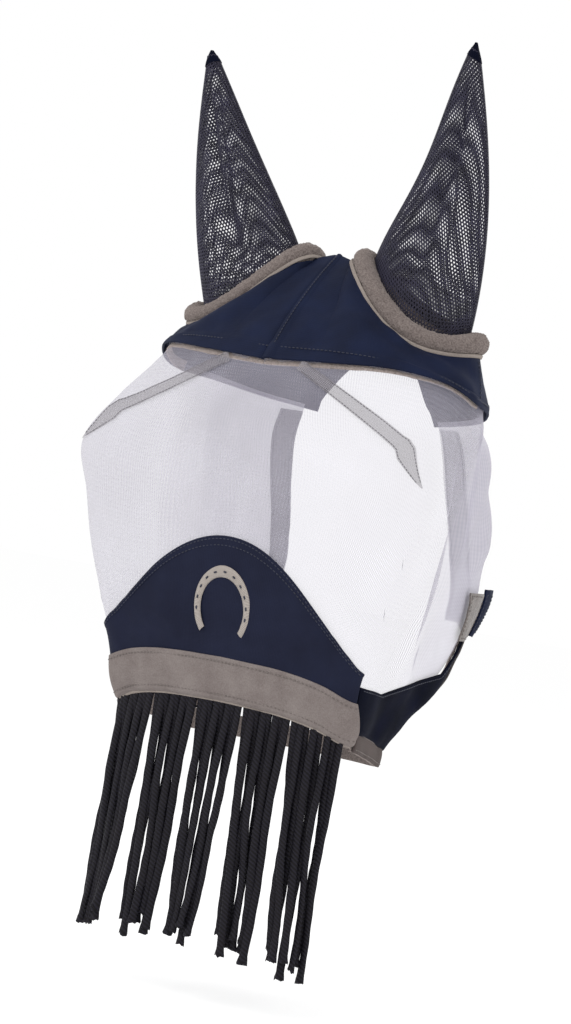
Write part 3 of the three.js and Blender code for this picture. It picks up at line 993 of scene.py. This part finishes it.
netCalm = {"height": -258, "fade": 34, "tuck": 2.6}
netFold = {"deep": 4.5, "rate": 0.085, "ripple": 2.4, "rippleRate": 0.17, "pull": 2.2, "hem": -2.2}


# taut over the face, with long soft folds that fall down the cheeks from the brow; flat under the closure
def netLift(across, up, point):
    side = abs(point.x) / 150
    back = clamp((point.y + 60) / 90)
    start = 1.7 if point.x > 0 else 0
    folds = netFold["deep"] * math.sin(point.y * netFold["rate"] + point.z * 0.02 + start) * back
    folds += netFold["ripple"] * math.sin(point.y * netFold["rippleRate"] - point.z * 0.03) * back
    pull = crumple(point, netFold["pull"], 60, 2.5)
    eye = -1.2 * hill(abs(point.x), 95, 30) * (1 - back)
    loose = (folds + pull + eye * side) * atEdges(up) * atEdges(across, rate=12)
    tucked = netFold["hem"] * clamp((up - 0.93) / 0.05)
    low = clamp((netCalm["height"] + netCalm["fade"] - point.z) / netCalm["fade"])
    rear = clamp((point.y - 20) / 70) if point.x > 0 else 0
    calm = ease(low) * ease(rear)
    return loose * (1 - calm) + tucked + 0.3 - netCalm["tuck"] * calm


net = cloth("face_net", netPlace, 230, 74, 0, faceNet, lift=netLift)
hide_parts("front_net", "cheek_net_left", "cheek_net_right")


fineStitch = {"long": 2.8, "pitch": 3.2, "thick": 0.42, "sink": 0.1}


def cheekEdge(side):
    def place(across, up):
        height = mix(cheek["foot"] + 2, browEdge(6.5) - 2, up)
        end = lineThrough(cheek[side], height)
        return skin(mix(end - cheek["tape"], end, across), height)
    return onSide(side, place)


for side in ("left", "right"):
    place = cheekEdge(side)
    # painted light and shade: the left hem gets the lighter copy and the right hem the darker copy of one
    # net hem
    tape = cloth(f"cheek_edge_{side}", place, 12, 60, 0, litNetHem if side == "left" else shadedNetHem,
                 lift=loosely(-1.6, (2.2, 40), (0.8, 15)))
    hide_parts(f"cheek_tape_{side}")
    for name, across in (("inner", 0.12), ("outer", 0.88)):
        stitchRow(f"cheek_edge_stitches_{name}_{side}", place, upright(across, 0.02, 0.98),
                  -1.2, greyThread, size=fineStitch)
print("face net")


# ---- eye darts ----

dart = {"route": [(34, -101), (137, -155), (164, -187)], "widths": [(0, 9), (0.7, 12), (0.79, 16), (1, 0.8)]}
dartSteps = [math.hypot(b[0] - a[0], b[1] - a[1]) for a, b in zip(dart["route"], dart["route"][1:])]
dartTurn = dartSteps[0] / sum(dartSteps)


# the tape over the left dart: from under the brow it widens, then it turns down to a point past the eye
def dartPlace(across, up):
    start, turn, end = (Vector(spot) for spot in dart["route"])
    if across < dartTurn:
        spot, along = start.lerp(turn, across / dartTurn), turn - start
    else:
        spot, along = turn.lerp(end, (across - dartTurn) / (1 - dartTurn)), end - turn
    later = clamp((across - dartTurn + 0.08) / 0.16)
    along = (turn - start).normalized().lerp((end - turn).normalized(), later).normalized()
    reach = (up - 0.5) * lineThrough(dart["widths"], across)
    return front(spot.x - along.y * reach, spot.y + along.x * reach)


for side in ("left", "right"):
    place = onSide(side, dartPlace)
    tape = cloth(f"eye_dart_{side}", place, 60, 6, 0, dartTape,
                 lift=loosely(1.7, (0.8, 20)))
    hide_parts(f"dart_tape_{side}")
    for name, up in (("upper", 0.9), ("lower", 0.1)):
        stitchRow(f"dart_stitches_{name}_{side}", place, straight(0.03, 0.97, 40, up),
                  2.0, greyThread, size=fineStitch)
print("eye darts")


# ---- nose panel, emblem and band ----

def nosePlace(across, up):
    column = mix(-3.02, 3.02, across)
    return skin(column, mix(bandTop(column) - 4, noseTop(column), up))


def noseLift(across, up, point):
    loose = crumple(point, 1.6, 45) + crumple(point + Vector((9, 9, 9)), 0.5, 12)
    hemStep = 0.6 if up > 0.93 else 0
    return 0.5 + loose * atEdges(across, up) + hemStep


panel = cloth("nose_softshell_panel", nosePlace, 150, 60, 2.0, noseSoftshell, lift=noseLift)
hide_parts("nose_panel")
for name, up in (("edge", 0.975), ("inner", 0.925)):
    stitchRow(f"nose_topstitch_{name}", nosePlace, straight(0.02, 0.98, 60, up), 3.1, navyThread)


# a horseshoe with its open end down, narrower toward its two ends
def shoePlace(across, up):
    angle = mix(1.22, -0.22, across) * math.pi
    narrow = 1 - 0.3 * abs(2 * across - 1)
    reach = nose["emblemRadius"] + (up - 0.5) * nose["emblemBar"] * narrow
    return front(math.cos(angle) * reach * 0.92, nose["emblemHeight"] + math.sin(angle) * reach * 1.16)


def shoeLift(across, up, point):
    return 2.6 + 1.3 * math.sin(math.pi * clamp(up)) ** 0.6


shoe = cloth("nose_horseshoe", shoePlace, 190, 10, 0.5, embroidery, lift=shoeLift)
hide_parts("nose_emblem")
nailStitch = {"long": 3.4, "pitch": 9.5, "thick": 1.0, "sink": 0.3}
stitchRow("horseshoe_nails", shoePlace, straight(0.1, 0.9, 30, 0.5), 4.5, navyThread, size=nailStitch)


def bandPlace(across, up):
    end = 3.04 + 0.16 * (1 - abs(2 * up - 0.7) / 1.3)
    column = mix(-end, end, across)
    return skin(column, mix(bandFoot(column), bandTop(column), up))


# the band is fullest along its middle, and rolls under at its folded lower edge
def bandLift(across, up, point):
    fold = -2.2 * (1 - min(up / 0.06, 1)) ** 2
    full = 1.8 * math.sin(math.pi * up)
    return 1.6 + fold + full + crumple(point, 0.8, 26) + 0.5 * hill(up, 0.1, 0.03)


band = cloth("nose_band_tape", bandPlace, 150, 26, 2.2, brushedTape, lift=bandLift)
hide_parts("nose_band")
for name, up, out in (("upper", 0.9, 4.6), ("lower", 0.15, 4.9)):
    stitchRow(f"band_{name}_stitches", bandPlace, straight(0.01, 0.99, 40, up), out, taupeThread)


def bandEdge(across, up):
    column = mix(-3.05, 3.05, across)
    foot = bandFoot(column)
    return skin(column, mix(foot - 1.6, foot + 1.2, up))


edge = cloth("nose_band_fold", bandEdge, 120, 3, 1.8, edgeTape,
             lift=loosely(1.2, (0.4, 9)))


def noseLining(across, up):
    column = mix(-3, 3, across)
    return skin(column, mix(bandFoot(column) + 11, bandTop(column) - 2, up))


lining = cloth("nose_fleece_lining", noseLining, 100, 12, 2.4, liningFleece,
               lift=loosely(-3.6, (0.8, 9)))
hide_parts("nose_lining")
print("nose")


# ---- jaw panels, bindings and chin strap ----

def strapTop(column):
    return smooth(jaw["strapTop"], column - foldColumn)


def jawPlace(across, up):
    column = mix(foldColumn + 0.04, jawColumn, across)
    return skin(column, mix(strapTop(column) - 2, jawTop(column), up))


def jawLift(across, up, point):
    return 0.4 + (crumple(point, 2.2, 30) + 1.2 * math.sin(point.y * 0.09)) * atEdges(across, up)


def bindingPlace(across, up):
    height = mix(strapTop(jawColumn) + 3, jaw["top"][4][1] - 2, up)
    edge = skin(jawColumn, height)
    back = (edge - skin(jawColumn - 0.1, height)).normalized()
    return edge + back * (across * jaw["binding"] - 1)


def makeJaw(side):
    panel = cloth(f"shaded_jaw_softshell_{side}", onSide(side, jawPlace), 90, 34, 2.0, shadedSoftshell,
                  lift=turned(side, jawLift))
    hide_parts(f"jaw_panel_{side}")
    bound = cloth(f"jaw_edge_{side}", onSide(side, bindingPlace), 8, 70, 3.0, boundTape,
                  lift=lambda a, u, p: 0.2 + 1.2 * math.sin(math.pi * a) + crumple(p, 0.8, 14), edge=0.45)
    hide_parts(f"jaw_binding_{side}")
    inner = cloth(f"jaw_fleece_{side}", onSide(side, bindingPlace), 6, 60, 1.6, liningFleece,
                  lift=loosely(-1.8, (0.6, 9)))
    topRoute = straight(0.03, 0.95, 30, 0.95)
    stitchRow(f"jaw_top_stitches_{side}", onSide(side, jawPlace), topRoute, 2.9, navyThread)


for side in ("left", "right"):
    makeJaw(side)


# the strap round the chin, from one end of the nose band to the other
def strapPlace(across, up):
    turn = 2 * across - 1
    column = abs(turn) * -3.35 + 6.5
    level = strapTop(min(column, jawColumn)) + 0.5
    height = level - (jaw["strapDepth"] + 1) * (1 - up)
    reach = min(max(column - 5.6, 0) / 0.9, 1)
    point = skin(min(column, 5.9), level - 8)
    bend = smooth([0, 0.35, 1], reach * 2) * math.pi / 2
    out = point.x * math.cos(bend)
    back = point.y + math.sin(bend) * jaw["strapBack"] * 0.6
    return Vector((-out if turn > 0 else out, back, height))


strap = cloth("chin_strap_tape", strapPlace, 160, 14, 2.4, chinTape, edge=0.4,
              lift=lambda a, u, p: 0.4 + 0.9 * math.sin(math.pi * u) + crumple(p, 0.8, 18))
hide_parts("chin_strap")
strapLining = cloth("chin_strap_fleece", strapPlace, 140, 10, 1.8, liningFleece,
                    lift=loosely(-1.8, (0.8, 8)))
for name, up in (("upper", 0.86), ("lower", 0.14)):
    stitchRow(f"chin_stitches_{name}", strapPlace, straight(0.01, 0.99, 60, up), 3.4, taupeThread)
print("jaw and chin")


# ---- closure on the left jaw ----

flap = {"top": -262, "bottom": -304, "length": 20, "column": 6.02, "clear": 1.5, "inward": -0.15}


def flapPlace(across, up):
    root = skin(flap["column"], mix(flap["bottom"], flap["top"], up))
    back = Vector((flap["inward"], 1, 0)).normalized()
    rounded = 3 * (2 * abs(up - 0.5)) ** 4
    length = flap["length"] * mix(0.6, 1.2, up) - rounded
    return root + back * (flap["clear"] + across * length)


def flapPatch(across, up):
    return flapPlace(mix(0.2, 0.82, across), mix(0.14, 0.86, up))


def loopPlace(across, up):
    return skin(mix(mix(5.6, 5.42, up), 5.86, across), mix(-309, -266, up))


tab = cloth("closure_tab", flapPlace, 30, 30, 2.2, navySoftshell, body="closure_flap",
            lift=lambda a, u, p: 4 + 0.8 * math.sin(a * 4) + crumple(p, 0.8, 10), edge=0.4)
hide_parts("closure_flap")
hook = cloth("closure_hook_tape", flapPatch, 16, 20, 1.2, loopTape, body="closure_flap",
             lift=lambda a, u, p: 2.6 + 0.8 * math.sin(a * 4))
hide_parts("closure_hook_patch")
loops = cloth("closure_loop_tape", loopPlace, 20, 24, 1.5, loopTape,
              lift=loosely(1.8, (0.5, 8)))
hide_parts("closure_loop_patch")
border = [(0.08, 0.06), (0.92, 0.06), (0.92, 0.94), (0.08, 0.94), (0.08, 0.06)]
stitchRow("loop_patch_stitches", loopPlace, border, 3.5, taupeThread)
tabBorder = [(a * 0.9 + 0.02, u * 0.9 + 0.04) for a, u in border]
stitchRow("closure_tab_stitches", flapPlace, tabBorder, 6.4, navyThread, body="closure_flap")
print("closure")


# ---- ears ----

ear = {"long": {"left": 221, "right": 205}, "hollow": {"left": 0.16, "right": 0.02},
       "lean": {"left": (0.193, -0.252, 0.948), "right": (0.24, -0.252, 0.938)},
       "across": 0.82, "fore": 0.62, "taper": 1.5, "bow": 7, "tip": 0.95,
       "cell": 2.9, "smallCell": 0.5, "yarn": 0.6, "thick": 0.5,
       "seam": 10.4, "bendFrom": 0.09, "bendTo": 0.17,
       "pleat": {"left": (1.36, 1.5, 0.2, 0.86), "right": (1.04, 1.34, 0.1, 0.86)}}
earLean = {side: Vector(ear["lean"][side]).normalized() for side in ("left", "right")}


# where an ear's middle line is. As in all the ear's functions, the place is a left ear's, and side
# only picks the length, the lean and how hollow its inner edge is.
def earAxis(share, side):
    return ringCentre + earLean[side] * share * ear["long"][side]


# a point of an ear: angle as on the ring, share 0 at the ring and 1 at the tip
def earPoint(angle, share, side):
    share = clamp(share)
    hollow = ear["hollow"][side] * math.sin(math.pi * share) ** 2 * (1 - math.cos(angle)) / 2
    width = ear["across"] * (1 - share ** ear["taper"]) * (1 - hollow) + 0.03
    depth = ear["fore"] * (1 - share) ** 1.3 + 0.14
    rise = math.sin(angle)
    dip = rise * rise * (ring["dipFront"] if rise < 0 else ring["dipRear"]) * (1 - share) ** 3
    return (ringCentre + ringLong * math.cos(angle) * width + ringFore * rise * depth
            + earLean[side] * share * ear["long"][side]
            + Vector((ear["bow"] * math.sin(share * math.pi), 0, -dip)))


# one crease runs up each ear panel, and the net is a little slack between
def earSlack(angle, share):
    crease = -5.0 * hill(angle % math.pi - 0.5 * share, 1.25, 0.16) * math.sin(math.pi * share) ** 0.7
    slack = 1.6 * math.sin(share * 11 + angle * 2) * math.sin(angle) ** 2
    return (crease + slack) * min(1, share * 5) * min(1, (1 - share) * 3)


def earPlace(angle, share, side):
    point = earPoint(angle, share, side)
    return point + (ringFore.normalized() * math.sin(angle)) * earSlack(angle, share)


# distance round a panel at one height of the ear, so that the cells keep their size
def arcTable(fromAngle, toAngle, share, side):
    spots, total = [(0.0, fromAngle)], 0.0
    before = earPlace(fromAngle, share, side)
    for i in range(1, 33):
        angle = mix(fromAngle, toAngle, i / 32)
        point = earPlace(angle, share, side)
        total += (point - before).length
        spots.append((total, angle))
        before = point
    return spots


def angleAt(table, gone):
    for (d0, a0), (d1, a1) in zip(table, table[1:]):
        if gone <= d1:
            return mix(a0, a1, (gone - d0) / max(d1 - d0, 1e-6))
    return table[-1][1]


# six-sided cells laid over one panel of an ear, row on row
def netCells(side, fromAngle, toAngle):
    length = ear["long"][side]
    cell = ear["cell"]
    radius = cell / math.sqrt(3)
    rows = int(length * (ear["tip"] + 0.02) / (radius * 1.5)) + 1
    grid = bmesh.new()
    made, tables = {}, {}

    def corner(u, v):
        key = (round(u * 20), round(v * 20))
        if key not in made:
            level = round(v, 2)
            if level not in tables:
                tables[level] = arcTable(fromAngle, toAngle, max(level, 0) / length, side)
            table = tables[level]
            half = table[-1][0] / 2
            angle = angleAt(table, min(max(u + half, 0), 2 * half))
            made[key] = grid.verts.new(earPlace(angle, max(v, 0) / length, side))
        return made[key]

    for row in range(rows):
        v = row * radius * 1.5
        share = v / length
        halfWide = arcTable(fromAngle, toAngle, share, side)[-1][0] / 2
        shift = cell / 2 if row % 2 else 0
        count = int(halfWide / cell) + 2
        for k in range(-count, count + 1):
            u = k * cell + shift
            if abs(u) > halfWide + cell * 0.1:
                continue
            around = []
            for turn in range(6):
                angle = math.radians(60 * turn + 30)
                around.append(corner(u + radius * math.cos(angle), v + radius * math.sin(angle)))
            if len(set(around)) == 6:
                try:
                    grid.faces.new(around)
                except ValueError:  # at the narrow tip two cells can fall together
                    pass
    return grid


# hexagonal net: each cell is inset and its middle removed, then the yarn gets its thickness
def makeNetPanel(side, name, fromAngle, toAngle):
    length = ear["long"][side]
    way = 1 if side == "left" else -1

    def widthAt(share):
        return arcTable(fromAngle, toAngle, share, side)[-1][0]

    grid = netCells(side, fromAngle, toAngle)
    bmesh.ops.dissolve_degenerate(grid, dist=0.05, edges=grid.edges)
    cells = [face for face in grid.faces if face.calc_area() > ear["smallCell"]]
    scraps = [face for face in grid.faces if face.calc_area() <= ear["smallCell"]]
    bmesh.ops.delete(grid, geom=scraps, context="FACES")
    bmesh.ops.inset_individual(grid, faces=cells, thickness=ear["yarn"], use_even_offset=True)
    bmesh.ops.delete(grid, geom=cells, context="FACES")
    bmesh.ops.delete(grid, geom=[v for v in grid.verts if not v.link_faces], context="VERTS")
    for v in grid.verts:
        v.co = Vector((v.co.x * way, v.co.y, v.co.z)) * mm
    if way < 0:
        bmesh.ops.reverse_faces(grid, faces=grid.faces)
    mesh = bpy.data.meshes.new(f"ear_net_{name}_{side}")
    grid.to_mesh(mesh)
    grid.free()
    piece = newPiece(mesh, earNet)
    wall = piece.modifiers.new("yarn", "SOLIDIFY")
    wall.thickness = ear["thick"] * mm
    wall.offset = 0
    applyModifiers(piece)
    bendEar(piece)
    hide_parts(f"ear_{name}_{side}", f"ear_collar_{name}_{side}")
    flatArea = sum(widthAt(i / 20) for i in range(19)) / 20 * length * 1e-6
    size = (widthAt(0) * mm, length * mm)
    print(f"{mesh.name}: {len(piece.data.polygons)} faces")


# bakes the piece's transform into its mesh
def bendEar(piece):
    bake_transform(piece)


# the doubled net along the two edges of an ear, and the solid cap at its point
def earEdge(angle, side):
    def place(across, up):
        share = mix(0.0, ear["tip"], up)
        spread = (across - 0.5) * ear["seam"]
        gap = (earPlace(angle + 0.05, share, side) - earPlace(angle - 0.05, share, side)).length
        return earPlace(angle + spread / max(gap / 0.1, 4), share, side)
    return place


def tipPlace(side):
    def place(across, up):
        share = mix(ear["tip"] - 0.012, 0.999, up)
        axis = earAxis(share, side) + Vector((ear["bow"] * math.sin(share * math.pi), 0, 0))
        return axis + (earPoint(across * 2 * math.pi, share, side) - axis) * (1.02 - 0.94 * up ** 2)
    return place


# a pleat taken in the front of an ear, from one share of a half turn to another
def pleatPlace(fromTurn, toTurn, low, high, side):
    def place(across, up):
        share = mix(low, high, up)
        return earPlace(mix(fromTurn, toTurn, across) * math.pi, share, side)
    return place


# a dark sheet round the back of the ear's foot, in the doubled ear net's material: painted shade on the
# ear's back wall
def earFootShadePlace(side):
    def place(across, up):
        return earPlace(mix(0.04, 0.96, across) * math.pi, mix(0.0, 0.13, up), side)
    return place


def makeEar(side):
    makeNetPanel(side, "front", math.pi, 2 * math.pi)
    makeNetPanel(side, "back", 0, math.pi)
    for name, angle in (("outer", 0.0), ("inner", math.pi)):
        tape = cloth(f"ear_seam_{name}_{side}", onSide(side, earEdge(angle, side)), 6, 90, 0, earSeam,
                     body=None, lift=lambda a, u, p: 0.4 + 0.5 * math.sin(math.pi * a))
        bendEar(tape)
    fromTurn, toTurn, low, high = ear["pleat"][side]
    pleatRun = onSide(side, pleatPlace(fromTurn, toTurn, low, high, side))
    pleat = cloth(f"ear_pleat_{side}", pleatRun, 14, 80, 0, earPleat, body=None, lift=loosely(-1.5))
    bendEar(pleat)
    # painted shade: a dark sheet inside the foot of the ear stands in for the shade on the ear's back wall
    collar = cloth(f"ear_collar_painted_shade_{side}", onSide(side, earFootShadePlace(side)), 70, 14, 0, earSeam,
                   lift=loosely(-1.6))
    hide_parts(f"ear_collar_back_{side}")
    tip = cloth(f"ear_cap_{side}", onSide(side, tipPlace(side)), 36, 16, 0.9, shadedSoftshell,
                body=f"ear_{side}", lift=loosely(0.2))
    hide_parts(f"ear_tip_{side}")


for side in ("left", "right"):
    makeEar(side)
print("ears")
